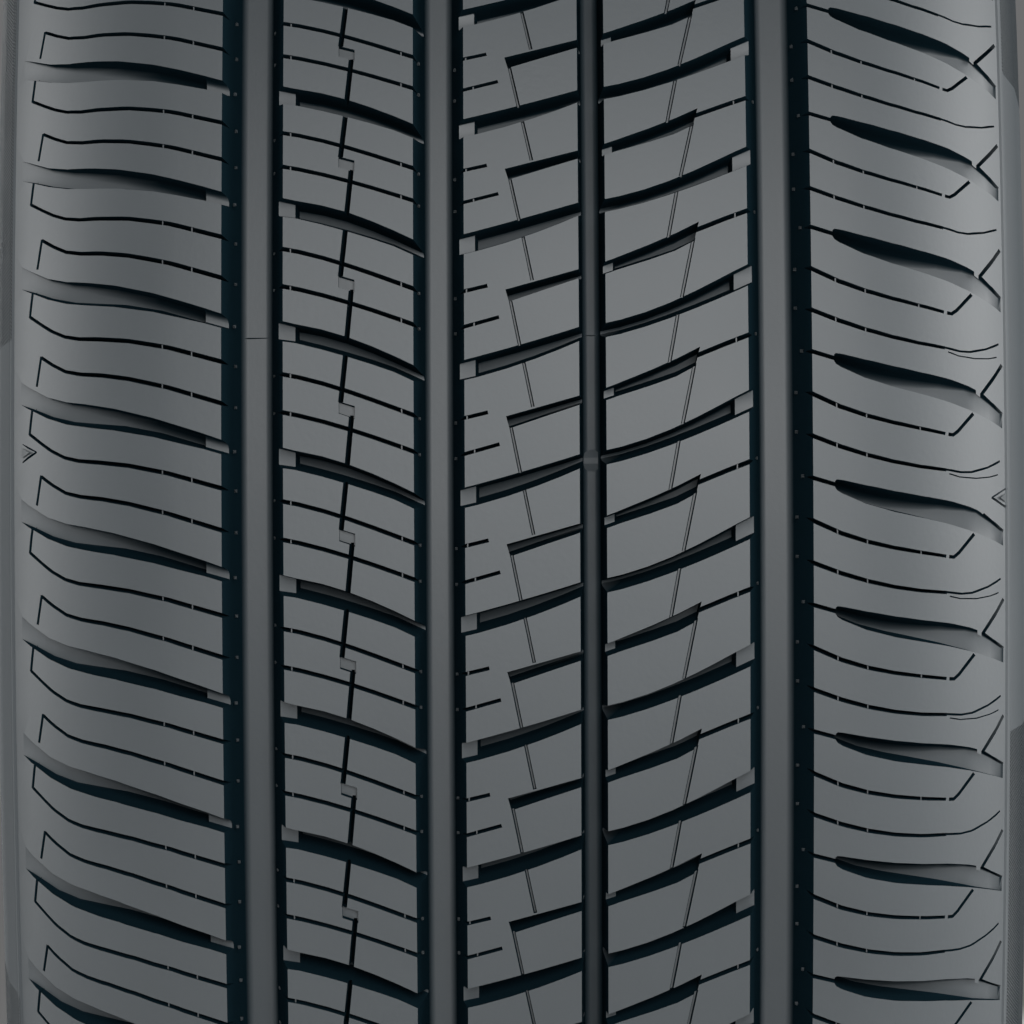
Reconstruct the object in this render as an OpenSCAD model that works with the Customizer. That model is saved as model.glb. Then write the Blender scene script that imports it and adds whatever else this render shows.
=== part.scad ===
// A car tyre with an asymmetric summer tread, modelled round its spin axis Y.
// It stands on its tread with Z up. The tread's two sides differ, so -Y and +Y tell them apart.

/* [Tyre size] */
// Outer diameter over the middle of the tread
tyre_d = 632; // [626:1:645]
// Width over the two sidewalls
section_w = 214; // [211:1:222]
// Diameter of the seats where the beads grip the rim
seat_d = 405.6; // [400:0.2:410]
// Width between the outer faces of the two beads
bead_span = 165.1; // [160:0.1:170]

/* [Carcass] */
// Wall under the middle of the tread, from the surface to the liner
crown_wall = 15.5; // [14:0.5:18]
// Wall at the shoulders, from the surface to the liner
shoulder_wall = 16; // [14:0.5:18]
// Wall at the widest place of the sidewalls
side_wall = 6.5; // [5:0.5:8]
// Radius from the axis to the widest place of the sidewalls
widest_r = 256; // [252:1:260]
// Length of the straight seat under each bead
seat_len = 10; // [8:0.5:12]
// Height of the rim protector above the seat
protector_h = 27; // [25:0.5:29]
// Rounding of each bead's heel
heel_r = 6; // [4:0.5:7]

/* [Tread] */
// Width of the tread between its shoulder edges
tread_w = 179; // [176:1:182]
// Radius of the crown across the tread
crown_r = 900; // [700:10:1200]
// How far inside the tread's edge each shoulder starts to round down
shoulder_in = 28.5; // [27:0.5:29]
// Radius of that rounding
shoulder_r = 55; // [50:1:62]
// Angle at which the rounding ends and the sidewall starts
shoulder_turn = 48; // [44:1:52]
// Depth of the four grooves round the tyre
groove_depth = 8; // [7:0.1:8.4]
// Depth of the cuts that run across the ribs
cross_depth = 6.5; // [5:0.1:7]
// Number of pattern steps round the tyre
steps = 78; // [72:1:84]

/* [Grooves round the tyre] */
// Middle of the first groove, the one nearest the -Y shoulder
groove_1_at = -52; // [-53:0.5:-51]
// Width of the first groove at the surface
groove_1_w = 12.4; // [11:0.1:13.5]
// Middle of the second groove
groove_2_at = -14.5; // [-15.5:0.5:-13.5]
// Width of the second groove at the surface
groove_2_w = 10.2; // [9:0.1:11]
// Middle of the third and narrowest groove
groove_3_at = 16.3; // [15.3:0.5:17.3]
// Width of the third groove at the surface
groove_3_w = 5.4; // [4.6:0.1:6.5]
// Middle of the fourth groove, the one nearest the +Y shoulder
groove_4_at = 54; // [53:0.5:55]
// Width of the fourth groove at the surface
groove_4_w = 12.8; // [11.5:0.1:14]
// Sideways run of a groove's wall on its way down
wall_run = 2.6; // [1.5:0.1:3]
// Sideways run of the wall that faces away from a shoulder
shoulder_run = 4.2; // [3:0.1:4.5]
// Sideways run of the walls of the narrowest groove
narrow_run = 1.6; // [1:0.1:1.9]

/* [Hidden] */

outer_r = tyre_d / 2;
seat_r = seat_d / 2;
half_tread = tread_w / 2;
half_bead = bead_span / 2;

// Points along a Bezier curve of any degree, and helpers for lists of points
function bezier(p, t) =
    len(p) == 1 ? p[0] : bezier([for (i = [0:len(p) - 2]) p[i] * (1 - t) + p[i + 1] * t], t);
function curve(p, n) = [for (i = [0:n]) bezier(p, i / n)];
function tail(p) = [for (i = [1:len(p) - 1]) p[i]];
function backwards(p) = [for (i = [len(p) - 1:-1:0]) p[i]];
function mirrored(p) = [for (q = p) [q[0], -q[1]]];

// Radius of the tread's surface at a place y across it, and the angle at which it falls away there
round_from = half_tread - shoulder_in;
round_angle = asin(round_from / crown_r);
round_mid = [outer_r - crown_r + (crown_r - shoulder_r) * cos(round_angle), (crown_r - shoulder_r) * sin(round_angle)];
function crown(y) = abs(y) < round_from
    ? outer_r - crown_r + sqrt(pow(crown_r, 2) - pow(y, 2))
    : round_mid[0] + sqrt(pow(shoulder_r, 2) - pow(abs(y) - round_mid[1], 2));
function fall(y) = abs(y) < round_from
    ? asin(y / crown_r)
    : sign(y) * asin((abs(y) - round_mid[1]) / shoulder_r);

// Each groove round the tyre as [-Y edge, -Y side of its floor, +Y side of its floor, +Y edge]
function groove(at, w, run_1, run_2) = [at - w / 2, at - w / 2 + run_1, at + w / 2 - run_2, at + w / 2];
grooves = [
    groove(groove_1_at, groove_1_w, shoulder_run, wall_run),
    groove(groove_2_at, groove_2_w, wall_run, wall_run),
    groove(groove_3_at, groove_3_w, narrow_run, narrow_run),
    groove(groove_4_at, groove_4_w, wall_run, shoulder_run)];
// The five ribs between them, as [-Y edge, +Y edge]
ribs = [
    [-half_tread, grooves[0][0]], [grooves[0][3], grooves[1][0]], [grooves[1][3], grooves[2][0]],
    [grooves[2][3], grooves[3][0]], [grooves[3][3], half_tread]];

// Every section point is [radius, place across]. The tread runs from shoulder to shoulder.
tread_face = [
    for (g = grooves) each [
        [crown(g[0]), g[0]], [crown(g[1]) - groove_depth, g[1]],
        [crown(g[2]) - groove_depth, g[2]], [crown(g[3]), g[3]]]];
outer_edge = max(grooves[3][3], -grooves[0][0]);
shoulder = [for (i = [0:8])
    let (a = round_angle + (shoulder_turn - round_angle) * i / 8, p = round_mid + shoulder_r * [cos(a), sin(a)])
    if (p[1] > outer_edge + 0.1) p];

// The side runs on from there over the sidewall and rim protector to the heel of the bead
buttress = shoulder[len(shoulder) - 1];
widest = [widest_r, section_w / 2];
protector = [seat_r + protector_h, half_bead + 20.5];
flange_lip = [seat_r + 19.5, half_bead + 9.5];
flange_foot = [seat_r + 11, half_bead];
heel = [for (a = [0:15:90]) [seat_r + heel_r * (1 - sin(a)), half_bead - heel_r * (1 - cos(a))]];
side_face = concat(
    shoulder,
    tail(curve([buttress, buttress + 8 * [-sin(shoulder_turn), cos(shoulder_turn)], widest + [22, 0], widest], 8)),
    tail(curve([widest, widest - [12, 0], protector + [6, 1.5], protector], 6)),
    tail(curve([protector, protector - [3, 0.5], flange_lip + [0.5, 5], flange_lip], 4)),
    tail(curve([flange_lip, flange_lip - [0, 5], flange_foot + [4.5, 0], flange_foot], 5)),
    heel);

// The toe ends the straight seat, and the liner runs from the middle of the crown down to the toe
toe = [seat_r, half_bead - heel_r - seat_len];
toe_edge = [toe, toe + [0.6, -2.4], toe + [5, -4]];
liner_end = half_tread - 11;
liner_shoulder = [crown(liner_end) - shoulder_wall, liner_end];
liner_widest = widest - [0, side_wall];
liner_bead = [protector[0] - 1, protector[1] - 14];
liner_crown = [for (i = [0:6]) let (y = liner_shoulder[1] * i / 6) [
    crown(y) - crown_wall - (shoulder_wall - crown_wall) * pow(i / 6, 2), y]];
liner = concat(liner_crown,
    tail(curve([liner_shoulder, liner_shoulder + [-1.2, 11], liner_widest + [17, 0], liner_widest], 8)),
    tail(curve([liner_widest, liner_widest - [13, 0], liner_bead + [8, 6], liner_bead], 5)));

// Pattern steps come in three lengths, mixed round the tyre to spread the tread's noise
short_step = 0.925;
long_step = 1.075;
function beat(i) = sin(360 * 3 * i / steps + 280) + sin(360 * 4 * i / steps + 140);
function step_len(i) = beat(i) < -0.7 ? short_step : beat(i) > 1 ? long_step : 1;
step_lens = [for (i = [0:steps - 1]) step_len(i)];
step_starts = [for (i = 0, at = 0; i <= steps; at = at + (i < steps ? step_lens[i] : 0), i = i + 1) at];
// Angle of the first step above +X, and the angle at p steps round the tyre
first_step = 2.65;
function turn(p) =
    let (whole = floor(p), laps = floor(whole / steps), i = whole - laps * steps)
    first_step + 360 * (laps + (step_starts[i] + (p - whole) * step_lens[i]) / step_starts[steps]);

// The cuts in one step. Each is the number of its rib, the segments of its edges, and the upper and
// lower edge as Bezier handles: [share of the rib's width, millimetres round the tyre at mean_step].
mean_step = 25.65;
cuts = [
    [0, 4, [[-0.33, -4.7], [0.1, -16.5], [-0.16, -6.8], [1.05, -21.1]],
        [[-0.3, -10.4], [0.11, -20.5], [0.03, -14.1], [1.05, -24.1]]],
    [1, 3, [[-0.05, 3.7], [0.18, 1.9], [0.34, 3], [1.05, -6.4]],
        [[-0.05, -0.5], [0.13, -0.7], [0.91, -7.1], [1.05, -9.5]]],
    [2, 2, [[-0.06, -5.2], [0.46, -2.2], [1.04, 2]],
        [[-0.06, -9.3], [0.45, -6.8], [1.04, -0.8]]],
    [2, 1, [[0.36, 9.4], [1.04, 13.8]],
        [[0.39, 6.9], [1.04, 11.9]]],
    [3, 3, [[-0.03, 2.3], [0.44, 5], [0.79, 11.8], [1.05, 15.3]],
        [[-0.03, -0.6], [0.31, 1.2], [0.75, 6.7], [1.05, 10.8]]],
    [3, 1, [[-0.03, -11], [0.66, -2.3]],
        [[-0.03, -13.4], [0.63, -6.3]]],
    [4, 4, [[0.18, -3.5], [1.14, -9.9], [0.89, -5.2], [1.38, -14.3]],
        [[0.16, -5.7], [0.57, -12.7], [0.95, -9.6], [1.38, -19.3]]]];

module tyre() color([0.32, 0.33, 0.34]) difference() {
    carcass();
    for (i = [0:steps - 1], cut = cuts) cross_cut(i, cut);
}

// One closed section, turned round the axis
module carcass() rotate([-90, 0, 0]) rotate_extrude($fn = 180) polygon(concat(
    tread_face, side_face, toe_edge, backwards(liner), mirrored(tail(liner)),
    mirrored(backwards(toe_edge)), mirrored(backwards(side_face))));

// A flat-bottomed cut in step i, which goes in square to the face at the middle of its rib
air = 6;
module cross_cut(i, cut) {
    rib = ribs[cut[0]];
    rib_mid = (rib[0] + rib[1]) / 2;
    edge = concat(curve(cut[2], cut[1]), backwards(curve(cut[3], cut[1])));
    turns = [for (q = edge) turn(i + q[1] / mean_step)];
    middle = (min(turns) + max(turns)) / 2;
    outline = [for (j = [0:len(edge) - 1])
        [rib[0] + edge[j][0] * (rib[1] - rib[0]), (turns[j] - middle) * outer_r * PI / 180]];
    rotate([0, -middle, 0]) translate([crown(rib_mid), rib_mid, 0]) rotate([0, 0, fall(rib_mid)])
        translate([-cross_depth, -rib_mid, 0]) rotate([90, 0, 90])
            linear_extrude(cross_depth + air) polygon(outline);
}

tyre();
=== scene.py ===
"""Looks of the car tyre: one moulded mesh with its whole tread pattern, in procedural black rubber."""
from math import pi, radians

import bmesh
import bpy
import numpy as np
from mathutils import Matrix, Vector


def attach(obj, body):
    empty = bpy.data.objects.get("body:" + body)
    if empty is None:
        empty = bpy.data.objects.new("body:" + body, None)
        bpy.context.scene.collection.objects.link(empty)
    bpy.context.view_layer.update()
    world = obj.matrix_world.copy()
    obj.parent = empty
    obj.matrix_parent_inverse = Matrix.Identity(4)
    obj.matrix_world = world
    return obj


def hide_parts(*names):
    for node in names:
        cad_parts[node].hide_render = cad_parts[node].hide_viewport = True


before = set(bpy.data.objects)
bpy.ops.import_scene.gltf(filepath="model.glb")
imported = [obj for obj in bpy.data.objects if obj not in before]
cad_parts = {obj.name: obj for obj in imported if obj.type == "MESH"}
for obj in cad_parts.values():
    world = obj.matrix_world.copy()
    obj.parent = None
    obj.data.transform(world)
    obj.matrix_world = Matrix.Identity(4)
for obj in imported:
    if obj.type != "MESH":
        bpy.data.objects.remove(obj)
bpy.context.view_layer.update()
MM = 0.001

# Sizes in millimetres, the same as the CAD's. A section point is [radius, place across].
OUTER_R = 316.0
CROWN_R = 900.0
HALF_TREAD = 89.5
SHOULDER_IN = 28.5
SHOULDER_R = 55.0
SHOULDER_TURN = radians(48)
SEAT_R = 202.8
HALF_BEAD = 82.55
SEAT_LEN = 10.0
HEEL_R = 6.0
WIDEST_R = 256.0
HALF_SECTION = 107.0
SIDE_WALL = 6.5
PROTECTOR_H = 27.0
CROWN_WALL = 15.5
SHOULDER_WALL = 16.0
GROOVE_DEPTH = 8.0
CROSS_DEPTH = 6.5
STEPS = 78
FIRST_STEP = radians(2.65)
MEAN_STEP = 25.65
SHORT_STEP, LONG_STEP = 0.925, 1.075

# Sizes that only the looks have
FILLET = 1.1  # at the foot of the walls of the grooves round the tyre
SHALLOW = 2.8  # depth of the sipes, and of the slots where they pass over a tie bar
LINK_DEPTH = 1.0  # depth of the thin notches that link slots and sipes
AIR = 3.0  # how far the cutters stand out of the tread
FINE, COARSE = 156, 78  # points in the rings of the tread and shoulders, and in the rings of the rest
FINE_FROM = 285.0  # radius at which the fine rings start


def spaced(n):
    return np.linspace(0, 1, n + 1)


def bezier(handles, t):
    """Points at shares t along a Bezier curve of any degree."""
    points = np.repeat(np.array(handles, float)[None], len(t), 0)
    t = np.array(t, float)[:, None, None]
    while points.shape[1] > 1:
        points = points[:, :-1] * (1 - t) + points[:, 1:] * t
    return points[:, 0]


def lengths(points):
    """Length along a line of points, at each of them."""
    return np.concatenate([[0], np.cumsum(np.linalg.norm(np.diff(points, axis=0), axis=1))])


def unit(vectors):
    return vectors / np.linalg.norm(vectors, axis=1)[:, None]


# The pattern's steps come in three lengths, mixed round the tyre
def swing(cycles, phase):
    return np.sin(np.radians(360 * cycles * np.arange(STEPS) / STEPS + phase))


beat = swing(3, 280) + swing(4, 140)
step_lens = np.where(beat < -0.7, SHORT_STEP, np.where(beat > 1, LONG_STEP, 1.0))
step_starts = np.concatenate([[0], np.cumsum(step_lens)])


def turn(p):
    """Angle above +X, in radians, at p steps round the tyre."""
    laps = np.floor(p / STEPS)
    share = np.interp(p - laps * STEPS, np.arange(STEPS + 1), step_starts) / step_starts[-1]
    return FIRST_STEP + 2 * pi * (laps + share)


# The outside of the tyre without its pattern
ROUND_FROM = HALF_TREAD - SHOULDER_IN
ROUND_ANGLE = np.arcsin(ROUND_FROM / CROWN_R)
ROUND_MID = np.array([OUTER_R - CROWN_R + (CROWN_R - SHOULDER_R) * np.cos(ROUND_ANGLE),
                      (CROWN_R - SHOULDER_R) * np.sin(ROUND_ANGLE)])


def crown(y):
    """Radius of the tread's surface at a place y across it."""
    middle = OUTER_R - CROWN_R + np.sqrt(CROWN_R**2 - np.square(y))
    inward = np.abs(y) - ROUND_MID[1]
    shoulder = ROUND_MID[0] + np.sqrt(np.maximum(SHOULDER_R**2 - np.square(inward), 0))
    return np.where(np.abs(y) < ROUND_FROM, middle, shoulder)


def shoulder_arc(n):
    a = np.linspace(ROUND_ANGLE, SHOULDER_TURN, n + 1)
    return ROUND_MID + SHOULDER_R * np.stack([np.cos(a), np.sin(a)], 1)


buttress = shoulder_arc(1)[1]
buttress_way = np.array([-np.sin(SHOULDER_TURN), np.cos(SHOULDER_TURN)])
widest = np.array([WIDEST_R, HALF_SECTION])
protector = np.array([SEAT_R + PROTECTOR_H, HALF_BEAD + 20.5])
flange_lip = np.array([SEAT_R + 19.5, HALF_BEAD + 9.5])
flange_foot = np.array([SEAT_R + 11, HALF_BEAD])
UPPER = [buttress, buttress + 8 * buttress_way, widest + [24, 0], widest]
LOWER = [widest, widest - [12, 0], protector + [6, 1.5], protector]
LIP = [protector, protector - [3, 0.5], flange_lip + [0.5, 5], flange_lip]
FOOT = [flange_lip, flange_lip - [0, 5], flange_foot + [4.5, 0], flange_foot]

# Half of it as a dense line, from the middle of the crown to the widest place, with its directions
crown_y = np.linspace(0, ROUND_FROM, 60)
half_crown = np.stack([crown(crown_y), crown_y], 1)
half_line = np.vstack([half_crown, shoulder_arc(80)[1:], bezier(UPPER, spaced(60))[1:]])
half_len = lengths(half_line)
half_way = unit(np.gradient(half_line, half_len, axis=0))


def along(y):
    """Length along the outside, from the middle of the crown, at a place across it."""
    return np.sign(y) * np.interp(np.abs(y), half_line[:, 1], half_len)


def outside(w):
    """Radius, place across and outward normal at a length along the outside."""
    columns = (half_line[:, 0], half_line[:, 1], half_way[:, 0], half_way[:, 1])
    r, y, way_r, way_y = (np.interp(np.abs(w), half_len, column) for column in columns)
    return r, y * np.sign(w), way_y, -way_r * np.sign(w)


def groove(at, width, run_1, run_2):
    """A groove round the tyre as [-Y edge, -Y side of its floor, +Y side of its floor, +Y edge]."""
    return [at - width / 2, at - width / 2 + run_1, at + width / 2 - run_2, at + width / 2]


GROOVES = [groove(-52, 12.4, 4.2, 2.6), groove(-14.5, 10.2, 2.6, 2.6),
           groove(16.3, 5.4, 0.8, 1.3), groove(54, 12.8, 2.6, 4.2)]
NARROW = GROOVES[2]


# The section, as runs of (points, outward normals) that are smooth in themselves and meet at edges
def smooth(points):
    points = np.array(points, float)
    ways = unit(np.diff(points, axis=0))
    bends = unit(np.vstack([ways[:1], ways[1:] + ways[:-1], ways[-1:]]))
    return points, np.stack([bends[:, 1], -bends[:, 0]], 1)


def crown_run(y0, y1):
    y = np.linspace(y0, y1, 2)
    points = np.stack([crown(y), y], 1)
    return points, np.stack([points[:, 0] - (OUTER_R - CROWN_R), y], 1) / CROWN_R


def groove_run(edges):
    """One wall, a rounded corner, the floor, a rounded corner and the other wall."""
    top_1, top_2 = np.array([crown(edges[0]), edges[0]]), np.array([crown(edges[3]), edges[3]])
    floor_1 = np.array([crown(edges[1]) - GROOVE_DEPTH, edges[1]])
    floor_2 = np.array([crown(edges[2]) - GROOVE_DEPTH, edges[2]])
    down, rise = unit(np.array([floor_1 - top_1, top_2 - floor_2]))
    fillet = min(FILLET, (edges[2] - edges[1]) * 0.45)
    inward, up = np.array([0, fillet]), np.array([1.0, 0.0])
    wall_1, wall_2 = np.array([down[1], -down[0]]), np.array([rise[1], -rise[0]])
    corner_1 = bezier([floor_1 - down * fillet, floor_1, floor_1 + inward], spaced(2))
    corner_2 = bezier([floor_2 - inward, floor_2, floor_2 + rise * fillet], spaced(2))
    normals = [wall_1, wall_1, wall_1 + up, up, up, wall_2 + up, wall_2, wall_2]
    return np.vstack([top_1, corner_1, corner_2, top_2]), unit(np.array(normals))


def flip(run):
    points, normals = run
    return points[::-1] * [1, -1], normals[::-1] * [1, -1]


def side_runs(edge, ring_at, ring_w, ring_h, ring_run):
    """From the last groove's edge to the rim protector, with a fine raised ring on the buttress."""
    base = np.vstack([[[crown(edge), edge]], shoulder_arc(7)[1:], bezier(UPPER, spaced(4))[1:]])
    stops = along(edge) + lengths(base)
    ring_start, ring_end = along(ring_at - ring_w / 2), along(ring_at + ring_w / 2)

    def surface(w, height=0.0):
        r, y, normal_r, normal_y = (float(value) for value in outside(np.array(w)))
        return [r + normal_r * height, y + normal_y * height]

    near, far = surface(ring_start - ring_run), surface(ring_end + ring_run)
    top = [surface(ring_start, ring_h), surface(ring_end, ring_h)]
    before = [surface(w) for w in stops if w < ring_start - 1.5]
    after = [surface(w) for w in stops if w > ring_end + 2]
    side = smooth(np.vstack([[far] + after, bezier(LOWER, spaced(4))[1:]]))
    return [smooth(before + [near]), smooth([near, top[0]]), smooth(top), smooth([top[1], far]), side]


heel_turn = np.radians(np.linspace(0, 90, 4))
heel = np.stack([SEAT_R + HEEL_R * (1 - np.sin(heel_turn)), HALF_BEAD - HEEL_R * (1 - np.cos(heel_turn))], 1)
toe = np.array([SEAT_R, HALF_BEAD - HEEL_R - SEAT_LEN])
toe_end = toe + [5, -4]
bead = [smooth(bezier(LIP, spaced(4))),
        smooth(bezier(FOOT, spaced(3))),
        smooth(np.vstack([[flange_foot], heel])),
        smooth([heel[-1], toe]),
        smooth([toe, toe + [0.6, -2.4], toe_end])]

liner_end = HALF_TREAD - 11
liner_shoulder = np.array([crown(liner_end) - SHOULDER_WALL, liner_end])
liner_widest = widest - [0, SIDE_WALL]
liner_bead = protector - [1, 14]
liner_y = liner_end * spaced(4)
liner_wall = CROWN_WALL + (SHOULDER_WALL - CROWN_WALL) * np.square(spaced(4))
liner_upper = [liner_shoulder, liner_shoulder + [-1.2, 11], liner_widest + [17, 0], liner_widest]
liner_lower = [liner_widest, liner_widest - [13, 0], liner_bead + [8, 6], liner_bead]
half_liner = np.vstack([
    np.stack([crown(liner_y) - liner_wall, liner_y], 1),
    bezier(liner_upper, spaced(5))[1:],
    bezier(liner_lower, spaced(4))[1:],
    [toe_end]])
liner = np.vstack([half_liner[::-1], half_liner[1:] * [1, -1]])

side_plus = side_runs(GROOVES[3][3], 100.85, 0.7, 0.35, 0.4)
side_minus = side_runs(-GROOVES[0][0], 101.8, 0.4, 0.5, 0.4)
runs = [flip(run) for run in bead[::-1] + side_minus[::-1]]
for here, following in zip(GROOVES, GROOVES[1:]):
    runs += [groove_run(here), crown_run(here[3], following[0])]
runs += [groove_run(GROOVES[3])] + side_plus + bead + [smooth(liner)]

# All section points in order, and strips between them as (point, next point, their two normals)
section = [runs[0][0][0]]
strips = []
for points, normals in runs:
    for k in range(1, len(points)):
        section.append(points[k])
        strips.append((len(section) - 2, len(section) - 1, normals[k - 1], normals[k]))
section = np.array(section[:-1])
strips = [(a, b % len(section), normal_a, normal_b) for a, b, normal_a, normal_b in strips]
outer_points = len(section) - (len(liner) - 2)


def ring_size(k):
    return FINE if section[k][0] > FINE_FROM and k < outer_points else COARSE


def rings():
    """Vertices and faces of the section turned round the spin axis."""
    verts, faces, offset = [], [], []
    for k, (r, y) in enumerate(section):
        n = ring_size(k)
        offset.append(len(verts))
        a = 2 * pi * np.arange(n) / n
        verts += list(zip(r * np.cos(a), np.full(n, y), r * np.sin(a)))
    for a, b, _, _ in strips:
        size_a, size_b = ring_size(a), ring_size(b)
        for j in range(min(size_a, size_b)):
            if size_a == size_b:
                j1 = (j + 1) % size_a
                faces.append((offset[a] + j, offset[a] + j1, offset[b] + j1, offset[b] + j))
                continue
            fine, coarse = (a, b) if size_a > size_b else (b, a)
            f0, f1, f2 = (offset[fine] + (2 * j + i) % FINE for i in range(3))
            c0, c1 = (offset[coarse] + (j + i) % COARSE for i in range(2))
            if size_a > size_b:
                faces += [(f0, f1, c0), (f1, c1, c0), (f1, f2, c1)]
            else:
                faces += [(c0, f1, f0), (c0, c1, f1), (c1, f2, f1)]
    return verts, faces


def volume(verts, faces):
    verts = np.array(verts)
    total = 0.0
    for size in {len(face) for face in faces}:
        corners = verts[np.array([face for face in faces if len(face) == size])]
        for k in range(1, size - 1):
            cross = np.cross(corners[:, k], corners[:, k + 1])
            total += np.einsum("ij,ij->i", corners[:, 0], cross).sum() / 6
    return total


def mesh_object(name, verts, faces):
    if volume(verts, faces) < 0:
        faces = [face[::-1] for face in faces]
    mesh = bpy.data.meshes.new(name)
    mesh.from_pydata((np.array(verts) * MM).tolist(), [], faces)
    mesh.update()
    obj = bpy.data.objects.new(name, mesh)
    bpy.context.scene.collection.objects.link(obj)
    return obj


# The cutters of the pattern. A place on the outside is w, a length along it from the middle of the crown,
# and s, millimetres round the tyre from the start of a step of mean length.
groups = {}  # letter of the group: (verts, faces). No two cutters of one group touch.


def place(w, s, depth):
    """Points of all steps at w, s and depth, which are arrays. The result has a first axis of STEPS."""
    r, y, normal_r, normal_y = outside(w)
    rho, across = r - depth * normal_r, y - depth * normal_y
    a = turn(np.arange(STEPS).reshape((-1,) + (1,) * w.ndim) + s[None] / MEAN_STEP)
    return np.stack([rho * np.cos(a), np.broadcast_to(across, a.shape), rho * np.sin(a)], -1)


# Each shape gives offsets from a cut's upper edge and depths there, for each of its stations
def slot_shape(width, depth, upper_wall, lower_wall):
    """A flat or hollow floor between two walls, where a wall is (its sideways run, width and height of
    the fillet at its foot, points in the fillet)."""
    share = depth / CROSS_DEPTH
    need = (upper_wall[0] + upper_wall[1] + lower_wall[0] + lower_wall[1]) * share
    squeeze = share * np.minimum(1, 0.94 * width / np.maximum(need, 1e-6))

    def profile(run, fillet_w, fillet_h, points):
        straight = 1 - fillet_h / CROSS_DEPTH
        wall = np.stack([run * straight * squeeze, depth * straight], 1)
        foot = np.stack([run * squeeze, depth], 1)
        inner = np.stack([(run + fillet_w) * squeeze, depth], 1)
        return [wall * (1 - t)**2 + foot * 2 * t * (1 - t) + inner * t**2 for t in spaced(points + 1)]

    upper, lower = profile(*upper_wall), profile(*lower_wall)[::-1]
    zero = np.zeros_like(width)
    offsets = [zero, zero] + [p[:, 0] for p in upper] + [width - p[:, 0] for p in lower] + [width, width]
    depths = [zero - AIR, zero] + [p[:, 1] for p in upper + lower] + [zero, zero - AIR]
    return np.stack(offsets, 1), np.stack(depths, 1)


def vee_shape(width, depth):
    zero = np.zeros_like(width)
    offsets = [zero, zero, width / 2, width, width]
    return np.stack(offsets, 1), np.stack([zero - AIR, zero, depth, zero, zero - AIR], 1)


def box_shape(width, depth):
    zero = np.zeros_like(width)
    inset = np.minimum(0.22, 0.3 * width)
    offsets = [zero, zero, inset, width - inset, width, width]
    return np.stack(offsets, 1), np.stack([zero - AIR, zero, depth, depth, zero, zero - AIR], 1)


def cut(group, upper, lower, depth, shape, *walls, only=range(STEPS)):
    """Adds one cutter a step. upper and lower are (w, s) edges, with a depth at each of their stations."""
    upper, lower, depth = (np.array(values, float) for values in (upper, lower, depth))
    width = np.linalg.norm(lower - upper, axis=1)
    way = unit(lower - upper)
    offsets, depths = shape(width, depth, *walls)
    w, s = (upper[:, None, i] + way[:, None, i] * offsets for i in (0, 1))
    points = place(w, s, depths)
    n, m = offsets.shape
    faces = []
    for i in range(n - 1):
        for j in range(m):
            j1 = (j + 1) % m
            faces.append((i * m + j, i * m + j1, (i + 1) * m + j1, (i + 1) * m + j))
    faces.append(tuple(range(m))[::-1])
    faces.append(tuple((n - 1) * m + j for j in range(m)))
    if volume(points[0].reshape(-1, 3), faces) < 0:
        faces = [face[::-1] for face in faces]
    all_verts, all_faces = groups.setdefault(group, ([], []))
    for i in only:
        all_faces += [tuple(len(all_verts) + q for q in face) for face in faces]
        all_verts += points[i].reshape(-1, 3).tolist()


def run_on(curve, y):
    """Ordinates of a dense curve at places across, run on straight past its two ends."""
    first, last = curve[0], curve[-1]
    slope_0 = (curve[4, 1] - first[1]) / (curve[4, 0] - first[0])
    slope_1 = (last[1] - curve[-5, 1]) / (last[0] - curve[-5, 0])
    s = np.interp(y, curve[:, 0], curve[:, 1])
    s = np.where(y < first[0], first[1] + slope_0 * (y - first[0]), s)
    return np.where(y > last[0], last[1] + (y - last[0]) * slope_1, s)


def slot(upper, lower, stations, upper_wall, lower_wall, pinch=(), drop=()):
    """A slot between two edges with Bezier handles [across, round]. stations are (across, depth). pinch
    draws in the first stations, and drop lowers the upper edge at the last ones."""
    y, depth = np.array(stations, float).T
    s_upper, s_lower = (run_on(bezier(handles, spaced(80)), y) for handles in (upper, lower))
    for k, inset in enumerate(pinch):
        s_upper[k] -= inset
        s_lower[k] += inset
    for k, amount in enumerate(drop):
        s_upper[k - len(drop)] -= amount
    w = along(y)
    cut("a", np.stack([w, s_upper], 1), np.stack([w, s_lower], 1), depth, slot_shape, upper_wall, lower_wall)


def path(group, points, width, depth, shape=vee_shape, only=range(STEPS)):
    """A narrow cut along a line of [across, round] points."""
    y, s = np.array(points, float).T
    line = np.stack([along(y), s], 1)
    way = unit(np.gradient(line, axis=0))
    half = np.stack([-way[:, 1], way[:, 0]], 1) * (np.broadcast_to(width, len(y)) / 2)[:, None]
    cut(group, line + half, line - half, np.broadcast_to(depth, len(y)), shape, only=only)


def sipe(group, y, s, width=0.95, depth=SHALLOW, gaps=()):
    """A sipe through ordinates s at places y, with a bridge of rubber at each gap."""
    path(group, np.stack([y, s], 1), width, depth)
    for gap in gaps:
        bridges.append((gap, np.interp(gap, y, s), width if np.isscalar(width) else np.interp(gap, y, width)))


def arch(y0, y1, handles, n):
    """Evenly spaced places from y0 to y1, and ordinates there with the given Bezier handles."""
    y = np.linspace(y0, y1, n + 1)
    return y, bezier([[h] for h in handles], (y - y0) / (y1 - y0))[:, 0]


bridges = []  # (across, round, width of the sipe)
pips = []  # (across, round, depth)
WEAR = [0, 10, 20, 30, 40, 49, 59, 69]  # steps with the marks of the wear bars
PLAIN = [i for i in range(STEPS) if i not in WEAR]
TWIN = sorted({(i + k) % STEPS for i in WEAR for k in (-2, -1, 0, 1)})  # where +Y sipes end in two lines

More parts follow.
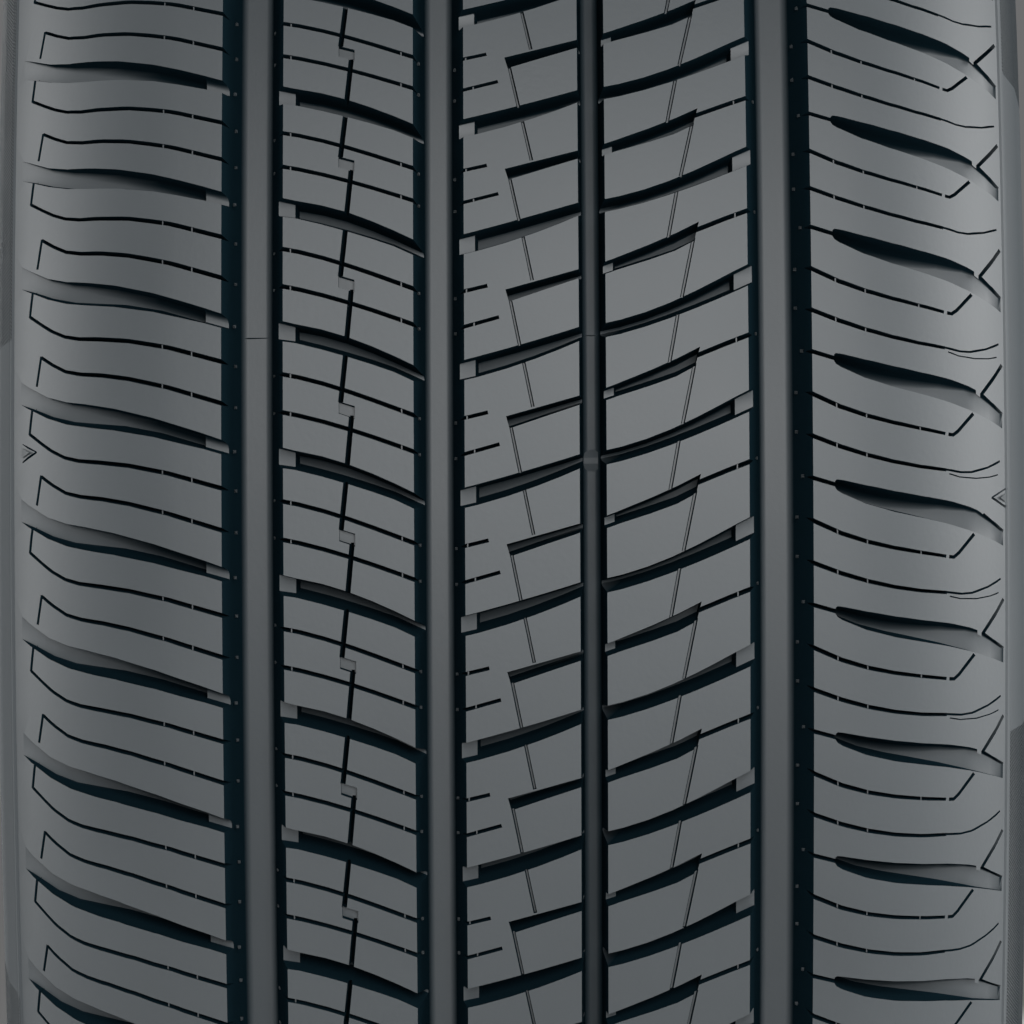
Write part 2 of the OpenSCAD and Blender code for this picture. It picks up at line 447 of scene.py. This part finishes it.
# Slots. Their last two arguments are the upper and lower wall, as slot_shape takes them.
# Rib 1, the -Y shoulder: its slots run on over the buttress
slot([[-101.6, -4.7], [-87, -16.5], [-95.8, -6.8], [-57.7, -20.7]],
     [[-100.8, -10.4], [-86.8, -20.5], [-89.5, -14.1], [-58.5, -23.4]],
     [(-100.5, -0.15), (-97.5, 1.1), (-94, 1.8), (-90, 2.9), (-86, 4.1), (-80, 5.1), (-72, 5.8),
      (-62, CROSS_DEPTH), (-61.6, SHALLOW), (-54.8, SHALLOW)],
     (0.5, 2.6, 5.0, 2), (1.3, 0.4, 0.9, 0))
# Rib 2
slot([[-47.2, 3.7], [-41.1, 1.8], [-37.2, 3.1], [-18.4, -6.4]],
     [[-47.2, -0.5], [-42.6, -0.7], [-22.1, -7.1], [-18.4, -9.5]],
     [(-49, SHALLOW), (-43.5, SHALLOW)] + [(y, CROSS_DEPTH) for y in (-42.9, -38, -33, -28, -23.5, -17)],
     (0.5, 0.5, 1.0, 1), (1.5, 0.3, 0.8, 0))
# Rib 3: one whole slot, and one from its middle
slot([[-10.8, -5.2], [1.2, -2.2], [14.5, 2]], [[-10.8, -9.3], [1, -6.8], [14.5, -0.8]],
     [(-12.2, SHALLOW), (-7.2, SHALLOW)] + [(y, CROSS_DEPTH) for y in (-6.6, -1, 5, 10, 15.4)],
     (0.5, 0.5, 1.0, 1), (1.3, 0.3, 0.8, 0))
cut("b", [[along(-1.1), 9.4], [along(6.5), 11.5], [along(15.4), 14]],
    [[along(-0.4), 6.9], [along(7), 9.4], [along(15.4), 12.2]], [6, 6, 6],
    slot_shape, (0.3, 0.4, 0.9, 1), (0.7, 0.3, 0.8, 0))
# Rib 4: one whole slot, and one that ends in a point
slot([[18.1, 2.3], [31.7, 5], [41.6, 11.8], [49, 15.3]], [[18.1, -0.6], [27.9, 1.2], [40.3, 6.7], [49, 10.8]],
     [(y, CROSS_DEPTH) for y in (17.1, 22, 27, 32, 37, 41, 44.4)] + [(45, SHALLOW), (50.6, SHALLOW)],
     (0.5, 0.5, 1.0, 1), (1.6, 0.3, 0.8, 0))
cut("b", [[17.1, -11.3], [20.6, -10], [21.1, -9.8], [28, -7], [33.4, -4.6], [37.9, -2.3]],
    [[17.1, -13.8], [20.6, -12.6], [21.1, -12.4], [28, -10.2], [33, -8.4], [36.9, -6.3]],
    [SHALLOW, SHALLOW, 6.2, 6.2, 6.2, 6.0], slot_shape, (0.45, 0.4, 1.0, 1), (1.5, 0.3, 0.8, 0))
# Rib 5, the +Y shoulder: a slot with a rounded inner end, and the line that it runs out in
slot([[65.7, -3.5], [94.6, -9.9], [87.1, -5.2], [102.4, -14.3]],
     [[65, -5.7], [77.3, -12.7], [89, -9.6], [102.9, -19.3]],
     [(64.8, 5.0), (65.2, 6.0), (66.2, CROSS_DEPTH), (71, CROSS_DEPTH), (77, 6.1), (83, 5.0), (88, 3.6),
      (92.6, 1.8), (94.6, 1.0), (97.5, 0.75), (99.6, 0.55), (99.95, -0.15)],
     (1.7, 1.8, 3.5, 2), (0.45, 0.6, 1.2, 0), pinch=(0.5, 0.1), drop=(0.6, 1.2, 1.3))
path("d", [[95.6, -10.4], [97.5, -12.05], [99.9, -14.1]], 0.45, 1.3)

# Sipes of rib 1, each with a short notch at its outer end
for handles, stops, notch in (
        ([[-97.9, 7.9], [-86, -3.2], [-89.9, 5.4], [-58.4, -4.6]],
         [-97.9, -95.4, -93, -90.4, -87.4, -83, -77, -69, -56], [[-97.9, 7.7], [-97.3, 13.4]]),
        ([[-95.4, -1.4], [-85.4, -9.8], [-91.5, -1.9], [-58.3, -13.1]],
         [-95.4, -92.8, -90.2, -87, -82.5, -77, -69, -56], [[-95.4, -1.2], [-96.4, -7.6]])):
    s = run_on(bezier(handles, spaced(60)), np.array(stops))
    sipe("b", stops, s, np.interp(stops, [-90.9, -84.6], [0.75, 0.95]),
         np.interp(stops, [-99.6, -86.7], [1.2, SHALLOW]), gaps=(-70.2, -64.2))
    path("c", notch, 0.75, 1.4)
    pips.append((-55.8, s[-1] + 0.2, 4.8))
pips.append((-55.8, -22.8, 2.8))
# Rib 2: two arched sipes, the notches that link them, and a small pit
for handles in ([-7.1, -8.7, -12.9, -16.7], [-14.8, -16.6, -20.2, -24]):
    y, s = arch(-47.6, -17.6, handles, 6)
    sipe("b", y, s, gaps=(-44.3, -22))
    pips += [(-47.9, s[0], 6), (-18.6, s[-1] + 0.3, 3)]
path("c", [[-33.2, -3.6], [-34.2, -13.2]], 1.1, 3.2)
path("c", [[-32, -15.8], [-33, -26.6]], 1.1, 3.2)
cut("d", [[-34.6, -13], [-31.4, -14]], [[-34.6, -15.5], [-31.4, -16.6]], [1.2, 1.2], box_shape)
# Rib 3: two short sipes, and two notches that run across the slots
sipe("b", [-11.4, -4.7], [8.6, 10.2], 0.8, gaps=(-8.9,))
sipe("b", [-11.4, -2.4], [1.3, 3.8], 0.8, gaps=(-7.4,))
pips += [(-11.2, 8.5, 5), (-11.2, 1.2, 5)]
path("c", [[-0.1, 7.2], [1.8, -2.4]], 0.75, LINK_DEPTH, box_shape)
path("c", [[2.5, -5.4], [4.3, -14.4]], 0.75, LINK_DEPTH, box_shape)
# Rib 4: one sipe, and two notches
sipe("c", [37.2, 43.3, 50.2], [-4.1, -1.6, 1.1], 1.0, gaps=(45.2,))
pips.append((49.4, 1.1, 5))
path("d", [[33.5, 4.4], [31.7, -5.6]], 0.8, LINK_DEPTH, box_shape)
path("d", [[36.8, -5.6], [34.3, -17.9]], 0.8, LINK_DEPTH, box_shape)
# Rib 5: two arched sipes that get narrower, and their shallow ends on the shoulder
sipe("c", [59.3, 65.4], [-2.9, -4.7], 0.9)
taper = [0.95, 0.95, 0.95, 0.9, 0.85, 0.78, 0.7]
for first_s, end, handles, gaps in ((14.9, 87.6, [13.7, 8.9, 7.9, 6.3], (65.3, 71.4, 82.5)),
                                    (6.3, 87.7, [5.2, 1.4, -0.6, -1.3], (65.3, 71.4))):
    y, s = arch(60.6, end, handles, 5)
    sipe("b", np.append(58.4, y), np.append(first_s, s), taper, gaps=gaps)
path("c", [[88.2, 6.2], [89.2, 6.1], [90.3, 7.0], [93.5, 10.9]], 0.8, 2.0)
pips += [(57.6, 14.6, 5), (57.6, 6.5, 5), (58.6, -2.7, 3)]
path("c", [[87.5, -1.2], [90.8, -1.7], [93, -1.6], [96.5, -0.5], [99.3, 1.1]], 0.5, 0.8)
path("d", [[88.3, -2.1], [90.5, -2.7], [94, -2.9], [97, -2.5], [98.8, -1.9]], 0.3, 0.5, only=TWIN)
path("c", [[95.3, -10.6], [99.9, -3.4]], 0.9, 4, only=PLAIN)
# An open arrow head on each shoulder in line with the wear bars
for tip, end, s in ((-96.4, -99.6, 3.9), (97.4, 100.4, -6.9)):
    path("c", [[end, s + 2], [tip + (end - tip) * 0.06, s + 0.1]], 0.4, 0.35, only=WEAR)
    path("d", [[end, s - 2], [tip, s]], 0.55, 0.6, only=WEAR)

# The cutters are taken out of the tyre, one group after the other
body = mesh_object("tyre_body", *rings())
cutters = []
for name in sorted(groups):
    cutter = mesh_object("cutter_" + name, *groups[name])
    cutters.append(cutter)
    mod = body.modifiers.new(name, "BOOLEAN")
    mod.operation, mod.solver, mod.object = "DIFFERENCE", "MANIFOLD", cutter
mesh = bpy.data.meshes.new_from_object(body.evaluated_get(bpy.context.evaluated_depsgraph_get()))
body.modifiers.clear()
body.data = mesh
for cutter in cutters:
    bpy.data.objects.remove(cutter)
mesh.name = "tyre_body"
mesh.materials.clear()
mesh.shade_smooth()
mesh.set_sharp_from_angle(angle=radians(42))

# Small bits of rubber that lie on the mesh: bridges, tabs, arrow heads, wear bars, mould joints and pips
small_verts, small_faces = [], []
BRIDGE_HALF, BRIDGE_DEPTH = 0.13, 0.45
TAB = 94.6, -9.8  # place across and round of the tab at the end of each +Y slot
PIP_HALF, PIP_H = 0.32, 1.3
PIP_CORNERS = 12  # face corners of one pip
# Profiles across a groove's floor, as (round, depth)
WEAR_BAR = [(-1.6, 8.1), (0.2, 7.3), (1.4, 7.3), (3.2, 8.1)]
MOULD_JOINT = [(1.07, 8.05), (1.2, 7.8), (1.33, 8.05)]


def bits(w, s, depth, only=range(STEPS), faces=((0, 1, 2, 3),)):
    """Adds the same small bit to each of the steps, with its faces turned outwards."""
    points = place(np.array(w, float), np.array(s, float), np.array(depth, float))
    for i in only:
        outwards = points[i].mean(0) * [1, 0, 1]
        for face in faces:
            a, b, c = points[i][list(face[:3])]
            out = np.cross(b - a, c - a) @ outwards > 0
            small_faces.append(tuple(len(small_verts) + q for q in (face if out else face[::-1])))
        small_verts.extend(points[i].tolist())


for y, s, width in bridges:
    reach = np.array([-1, -1, 1, 1]) * (width / 2 + 0.05)
    bits(along(y) + np.array([-1, 1, 1, -1]) * BRIDGE_HALF, s + reach, [BRIDGE_DEPTH] * 4)
bits(along(TAB[0]) + np.array([-0.6, 0.6, 0.6, -0.6]), TAB[1] + np.array([-0.7, -1.26, 0.7, 0.7]),
     [0.05] * 4, PLAIN)
for near, far, s in ((-97.6, -99.6, 3.9), (98.9, 100.6, -6.9)):
    bits(along(np.array([near, near, far, far])), s + np.array([-0.05, 0.05, 1.1, -1.1]),
         [-0.5, -0.5, -0.05, -0.05], WEAR)


def ridge(w0, w1, profile, only):
    """A ridge across a groove's floor, through a profile of (round, depth) points."""
    for (s0, depth_0), (s1, depth_1) in zip(profile, profile[1:]):
        bits([w0, w0, w1, w1], [s0, s1, s1, s0], [depth_0, depth_1, depth_1, depth_0], only)


ridge(along(NARROW[1]) - 0.3, along(NARROW[2]) - 0.2, WEAR_BAR, WEAR)
for edges in (GROOVES[0], NARROW):
    ridge(along(edges[1]) - 0.2, along(edges[2]) + 0.2, MOULD_JOINT, [i + 1 for i in WEAR])
for y, s, depth in pips:
    corners = np.array([[-1, -1], [1, -1], [1, 1], [-1, 1], [0, 0]]) * PIP_HALF
    bits(along(y) + corners[:, 0], s + corners[:, 1], depth - np.array([0, 0, 0, 0, PIP_H]),
         faces=[(4, k, (k + 1) % 4) for k in range(4)])

extra = bpy.data.meshes.new("extras")
extra.from_pydata((np.array(small_verts) * MM).tolist(), [], small_faces)
extra.update()
joined = bmesh.new()
joined.from_mesh(mesh)
joined.from_mesh(extra)
joined.to_mesh(mesh)
joined.free()
bpy.data.meshes.remove(extra)


def read(items, name, width, kind=float):
    values = np.empty(len(items) * width, kind)
    items.foreach_get(name, values)
    return values.reshape(-1, width) if width > 1 else values


def polar(points):
    """Radius, place across, and cosine and sine of the angle round the tyre."""
    rho = np.hypot(points[:, 0], points[:, 2])
    return rho, points[:, 1], points[:, 0] / rho, points[:, 2] / rho


def in_section(vectors, cos_a, sin_a):
    """Vectors as [outwards, across]."""
    return np.stack([vectors[:, 0] * cos_a + vectors[:, 2] * sin_a, vectors[:, 1]], 1)


# Faces that lie on a strip of the section get its exact normals, so that the rings of points don't show
SLACK, COARSE_SLACK = 0.1, 0.3  # how far a face's centre may lie from its strip, with fine and coarse rings
COARSE_BELOW = 268  # radius
SAME_WAY = 0.985  # cosine of the angle up to which a face and a strip face the same way
face_start, face_size = (read(mesh.polygons, name, 1, np.int32) for name in ("loop_start", "loop_total"))
face_of = np.repeat(np.arange(len(face_start)), face_size)
corner_at = read(mesh.vertices, "co", 3)[read(mesh.loops, "vertex_index", 1, np.int32)] / MM
normals = read(mesh.corner_normals, "vector", 3)
rho, y, cos_a, sin_a = polar(read(mesh.polygons, "center", 3) / MM)
face_normal = in_section(read(mesh.polygons, "normal", 3), cos_a, sin_a)
strip_of = np.full(len(face_start), -1)
for k, (a, b, _, _) in enumerate(strips):
    length = np.hypot(*(section[b] - section[a]))
    way = (section[b] - section[a]) / length
    sideways = np.array([way[1], -way[0]])
    away = np.stack([rho, y], 1) - section[a]
    past = away @ way
    slack = SLACK if min(section[a][0], section[b][0]) > COARSE_BELOW else COARSE_SLACK
    near = (past > -0.01) & (past < length + 0.01) & (np.abs(away @ sideways) < slack)
    strip_of[near & (np.abs(face_normal @ sideways) > SAME_WAY)] = k

on_strip = np.nonzero(strip_of[face_of] >= 0)[0]
which = strip_of[face_of[on_strip]]
start, end = (section[[strip[i] for strip in strips]][which] for i in (0, 1))
start_normal, end_normal = (np.array([strip[i] for strip in strips])[which] for i in (2, 3))
rho, y, cos_a, sin_a = polar(corner_at[on_strip])
way = end - start
share = ((np.stack([rho, y], 1) - start) * way).sum(1) / (way**2).sum(1)
share = np.clip(share, 0, 1)[:, None]
exact = unit(start_normal * (1 - share) + end_normal * share)
exact *= np.sign((face_normal[face_of[on_strip]] * exact).sum(1))[:, None]
normals[on_strip] = np.stack([exact[:, 0] * cos_a, exact[:, 1], exact[:, 0] * sin_a], 1)
mesh.normals_split_custom_set(normals.tolist())


def ease(low, high, x):
    x = np.clip((x - low) / (high - low), 0, 1)
    return x * x * (3 - 2 * x)


# Attributes of the mesh's corners that the material reads
rho, y, cos_a, sin_a = polar(corner_at)
normal = in_section(normals, cos_a, sin_a)
surface_r, _, out_r, out_y = outside(along(y))
facing = normal[:, 0] * out_r + normal[:, 1] * out_y
depth = (surface_r - rho) * out_r
FLOOR_PAINTED_SHADES = 0.76, 0.87, 0.95, 0.86  # painted shade on the floors of the four grooves round the tyre
NARROW_PAINTED_SHADE = 0.6  # painted shade that makes the narrow groove's floor darker still
BAR_PAINTED_SHADES = 0.44, 0.56  # painted shade of the wear bars' tops and slopes
BAND_TONE = 0.84  # of the foot of the -Y ring
LINER_TONE = 0.7


def painted_light():
    """Painted light and shade: 1 on the moulded faces, down to 0, full painted shade, on the walls and deep
    floors of the cuts.
    """
    # Beyond 97 mm across, only what lies in a cut counts as tread
    in_cut = (np.abs(y) < 97) | (depth > 0.03) | (facing < 0.8)
    tread = in_cut & (y > -100.7) & (y < 99.8) & (depth < 8.6) & (rho > 285)
    # Painted shade: a wall is dark unless it leans outwards, which counts for more on the -Y shoulder
    minus_shoulder = ease(72, 86, -y)
    lit_share = np.where(tread, ease(0.62 - 0.15 * minus_shoulder, 0.97 - 0.2 * minus_shoulder, facing), 1.0)
    in_groove, floor_shade = np.zeros(len(y), bool), np.ones(len(y))
    for edges, value in zip(GROOVES, FLOOR_PAINTED_SHADES):
        within = (y > edges[0] - 0.1) & (y < edges[3] + 0.1)
        in_groove |= within
        floor_shade = np.where(within & (depth > 6), value, floor_shade)
    # Painted shade: the deep floors of slots and sipes are darkened with depth, and less so on the shoulders
    depth_shade = np.where(np.abs(y) > 60, 0.12 + 0.48 * (1 - ease(68, 80, np.abs(y))), 0.62)
    lit_share = np.where(tread & ~in_groove, lit_share * (1 - depth_shade * ease(3.2, 6.2, depth)), lit_share) * floor_shade
    in_narrow = (y > NARROW[0]) & (y < NARROW[3])
    lit_share = np.where(tread & in_narrow & (depth > 6), lit_share * NARROW_PAINTED_SHADE, lit_share)
    lit_share = np.where((y < -99.6) & (y > -101.45), lit_share * BAND_TONE, lit_share)
    bar = (rho > 300) & in_narrow & (depth > 5.3) & (np.abs(normal[:, 1]) < 0.3) & (facing > 0.3)
    lit_share = np.where(bar, np.where(facing > 0.98, *BAR_PAINTED_SHADES), lit_share)
    lit_share[-len(pips) * STEPS * PIP_CORNERS:] = 1  # the pips are the last faces, and they get no painted shade, so they catch the light
    lining = (rho < 306) & (depth > 9) & (normal[:, 0] < -0.15) | (rho < 300) & (np.abs(y) < 60)
    return np.where(lining, LINER_TONE, lit_share)


sidewall = np.where(y < 0, ease(101.9, 102.3, -y), ease(101.2, 101.8, y)) * (rho > 220)
for name, values in (("painted_light", painted_light()), ("sidewall", sidewall), ("across", along(y))):
    mesh.attributes.new(name, "FLOAT", "CORNER").data.foreach_set("value", values.astype(np.float32))

# Colours and gloss of the rubber
CLOUD_COLOURS = (0.0462, 0.0535, 0.0583, 1), (0.0570, 0.0660, 0.0719, 1)
# Painted shade: the colour where the cuts' walls and deep floors are fully shaded
CUT_SHADE_COLOUR = 0.0036, 0.0098, 0.0138, 1
TREAD_SPECULAR, SIDE_SPECULAR = 0.5, 0.12
ROUGHNESS = 0.46, 0.56  # least and most, through the clouds
SIDE_ROUGHER = 0.25
# Panels of fine slanting serrations on the sidewalls: bumped, with painted light and shade in stripes along
# their ridges, and painted shade on the +Y panels
PANELS = 8
PANEL_START, PANEL_TURN = radians(8), radians(18)
PLUS_START = radians(11)  # how much further round the +Y panels start
PANEL_FROM = 0.1019  # metres across, where the panels start on the -Y side
PLUS_FROM = -0.0005  # and how much nearer the middle on the +Y side
PANEL_R = 0.268  # radius in metres where the panels end
WAVES = 2293  # serrations round the tyre
SLANT = 2 * pi * 1.03  # radians of a wave for each millimetre across
# painted light and shade of the serrations' stripes, and painted shade that makes the +Y panels darker
RIDGE_PAINTED_SHADE, PLUS_PANEL_SHADE = 0.3, 0.42


def rubber_material():
    material = bpy.data.materials.new("tyre_rubber")
    material.use_nodes = True
    tree = material.node_tree
    bsdf = tree.nodes["Principled BSDF"]
    link = tree.links.new

    def node(kind, **values):
        made = tree.nodes.new(kind)
        for name, value in values.items():
            if name in made.inputs:
                made.inputs[name].default_value = value
            else:
                setattr(made, name, value)
        return made

    def calc(operation, *values):
        made = node("ShaderNodeMath", operation=operation)
        for socket, value in zip(made.inputs, values):
            if isinstance(value, (int, float)):
                socket.default_value = value
            else:
                link(value, socket)
        return made.outputs[0]

    def attribute(name):
        return node("ShaderNodeAttribute", attribute_name=name).outputs["Fac"]

    def noise(scale, detail):
        made = node("ShaderNodeTexNoise", Scale=scale, Detail=detail)
        link(position, made.inputs["Vector"])
        return made.outputs["Fac"]

    def mix(share, a, b):
        made = node("ShaderNodeMix", data_type="RGBA", A=a)
        link(share, made.inputs["Factor"])
        if isinstance(b, tuple):
            made.inputs["B"].default_value = b
        else:
            link(b, made.inputs["B"])
        return made.outputs["Result"]

    def ramp(share, low, high):
        made = node("ShaderNodeMapRange", **{"To Min": low, "To Max": high})
        link(share, made.inputs["Value"])
        return made.outputs["Result"]

    position = node("ShaderNodeTexCoord").outputs["Object"]
    painted_light_value, side = attribute("painted_light"), attribute("sidewall")
    clouds, grain = noise(26.0, 3.0), noise(900.0, 2.0)

    axes = node("ShaderNodeSeparateXYZ")
    link(position, axes.inputs[0])
    x, y, z = axes.outputs
    angle = calc("ARCTAN2", z, x)
    radius = calc("SQRT", calc("MULTIPLY_ADD", x, x, calc("MULTIPLY", z, z)))
    plus_side = calc("GREATER_THAN", y, 0)
    start = calc("MULTIPLY_ADD", plus_side, PLUS_START, PANEL_START)
    into = calc("FLOORED_MODULO", calc("SUBTRACT", angle, start), 2 * pi / PANELS)
    panel_from = calc("MULTIPLY_ADD", plus_side, PLUS_FROM, PANEL_FROM)
    outer_edge = calc("GREATER_THAN", calc("ABSOLUTE", y), panel_from)
    inner_edge = calc("GREATER_THAN", radius, PANEL_R)
    panel = calc("MULTIPLY", calc("LESS_THAN", into, PANEL_TURN), calc("MULTIPLY", outer_edge, inner_edge))
    wave = calc("SINE", calc("MULTIPLY_ADD", angle, WAVES, calc("MULTIPLY", attribute("across"), SLANT)))
    serration = calc("MULTIPLY", wave, panel)

    # Painted shade darkens the +Y panels, and painted light and shade stripes the serrations
    panel_shade = calc("MULTIPLY_ADD", calc("MULTIPLY", panel, plus_side), -PLUS_PANEL_SHADE, 1)
    lit = calc("MULTIPLY_ADD", serration, RIDGE_PAINTED_SHADE, calc("MULTIPLY", painted_light_value, panel_shade))
    link(mix(lit, CUT_SHADE_COLOUR, mix(clouds, *CLOUD_COLOURS)), bsdf.inputs["Base Color"])
    # The gloss fades out with the painted shade as well
    specular = calc("MULTIPLY", painted_light_value, ramp(side, TREAD_SPECULAR, SIDE_SPECULAR))
    link(specular, bsdf.inputs["Specular IOR Level"])
    link(calc("MULTIPLY_ADD", side, SIDE_ROUGHER, ramp(clouds, *ROUGHNESS)), bsdf.inputs["Roughness"])
    bump = node("ShaderNodeBump", Strength=0.12, Distance=0.0002)
    link(grain, bump.inputs["Height"])
    ribbing = node("ShaderNodeBump", Strength=0.8, Distance=0.0003)
    link(serration, ribbing.inputs["Height"])
    link(bump.outputs["Normal"], ribbing.inputs["Normal"])
    link(ribbing.outputs["Normal"], bsdf.inputs["Normal"])
    return material


mesh.materials.append(rubber_material())

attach(body, "root")
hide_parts("tyre")

# Floor, with its size in millimetres
FLOOR_HALF = 6000
signs = (-1, -1), (1, -1), (1, 1), (-1, 1)
floor = mesh_object("floor", [(i * FLOOR_HALF, j * FLOOR_HALF, -OUTER_R) for i, j in signs], [(0, 1, 2, 3)])
floor_material = bpy.data.materials.new("floor")
floor_material.use_nodes = True
floor_shader = floor_material.node_tree.nodes["Principled BSDF"]
floor_shader.inputs["Base Color"].default_value = (0.8, 0.8, 0.8, 1)
floor_shader.inputs["Roughness"].default_value = 0.9
floor.data.materials.append(floor_material)


def soft_light(name, at, look, size, power, spread=180):
    light = bpy.data.lights.new(name, "AREA")
    light.shape, light.size, light.size_y, light.energy = "RECTANGLE", size[0], size[1], power
    light.spread = radians(spread)
    obj = bpy.data.objects.new(name, light)
    obj.location = at
    obj.visible_camera = False
    obj.rotation_euler = (Vector(look) - Vector(at)).to_track_quat("-Z", "Y").to_euler()
    bpy.context.scene.collection.objects.link(obj)


soft_light("key", (2.15, 0.3, 0.52), (0.3, 0, 0.05), (1.3, 1.3), 11.0, 90)
soft_light("right", (0.27, 1.83, 0.42), (0.1, 0.1, 0.05), (1.5, 1.3), 12.8, 90)
soft_light("left", (0.05, -1.87, 0.4), (0.1, -0.1, 0.05), (1.2, 1.4), 7.8, 90)
soft_light("back", (-2.2, -0.5, 0.6), (-0.3, 0, 0), (1.3, 1.3), 40)
world = bpy.data.worlds.new("studio")
bpy.context.scene.world = world
world.use_nodes = True
world.node_tree.nodes["Background"].inputs["Color"].default_value = (1, 1, 1, 1)
world.node_tree.nodes["Background"].inputs["Strength"].default_value = 0.15

# Camera, in metres: square on to the tread, and a little above the spin axis
CAMERA_AWAY = 1.35
VIEW_WIDTH = 0.2048  # what the photo shows of the tread's middle
CAMERA_UP = 0.0048
CAMERA_ROLL = -0.0052
SENSOR = 36
camera_data = bpy.data.cameras.new("camera")
camera_data.lens = SENSOR * CAMERA_AWAY / VIEW_WIDTH
camera_data.clip_end = 50
camera = bpy.data.objects.new("camera", camera_data)
camera.location = (OUTER_R * MM + CAMERA_AWAY, 0, CAMERA_UP)
facing_back = Matrix.Rotation(pi / 2, 4, "Z") @ Matrix.Rotation(pi / 2, 4, "X")
camera.rotation_euler = (facing_back @ Matrix.Rotation(CAMERA_ROLL, 4, "Z")).to_euler()
bpy.context.scene.collection.objects.link(camera)
bpy.context.scene.camera = camera

scene = bpy.context.scene
scene.view_settings.view_transform = "Standard"
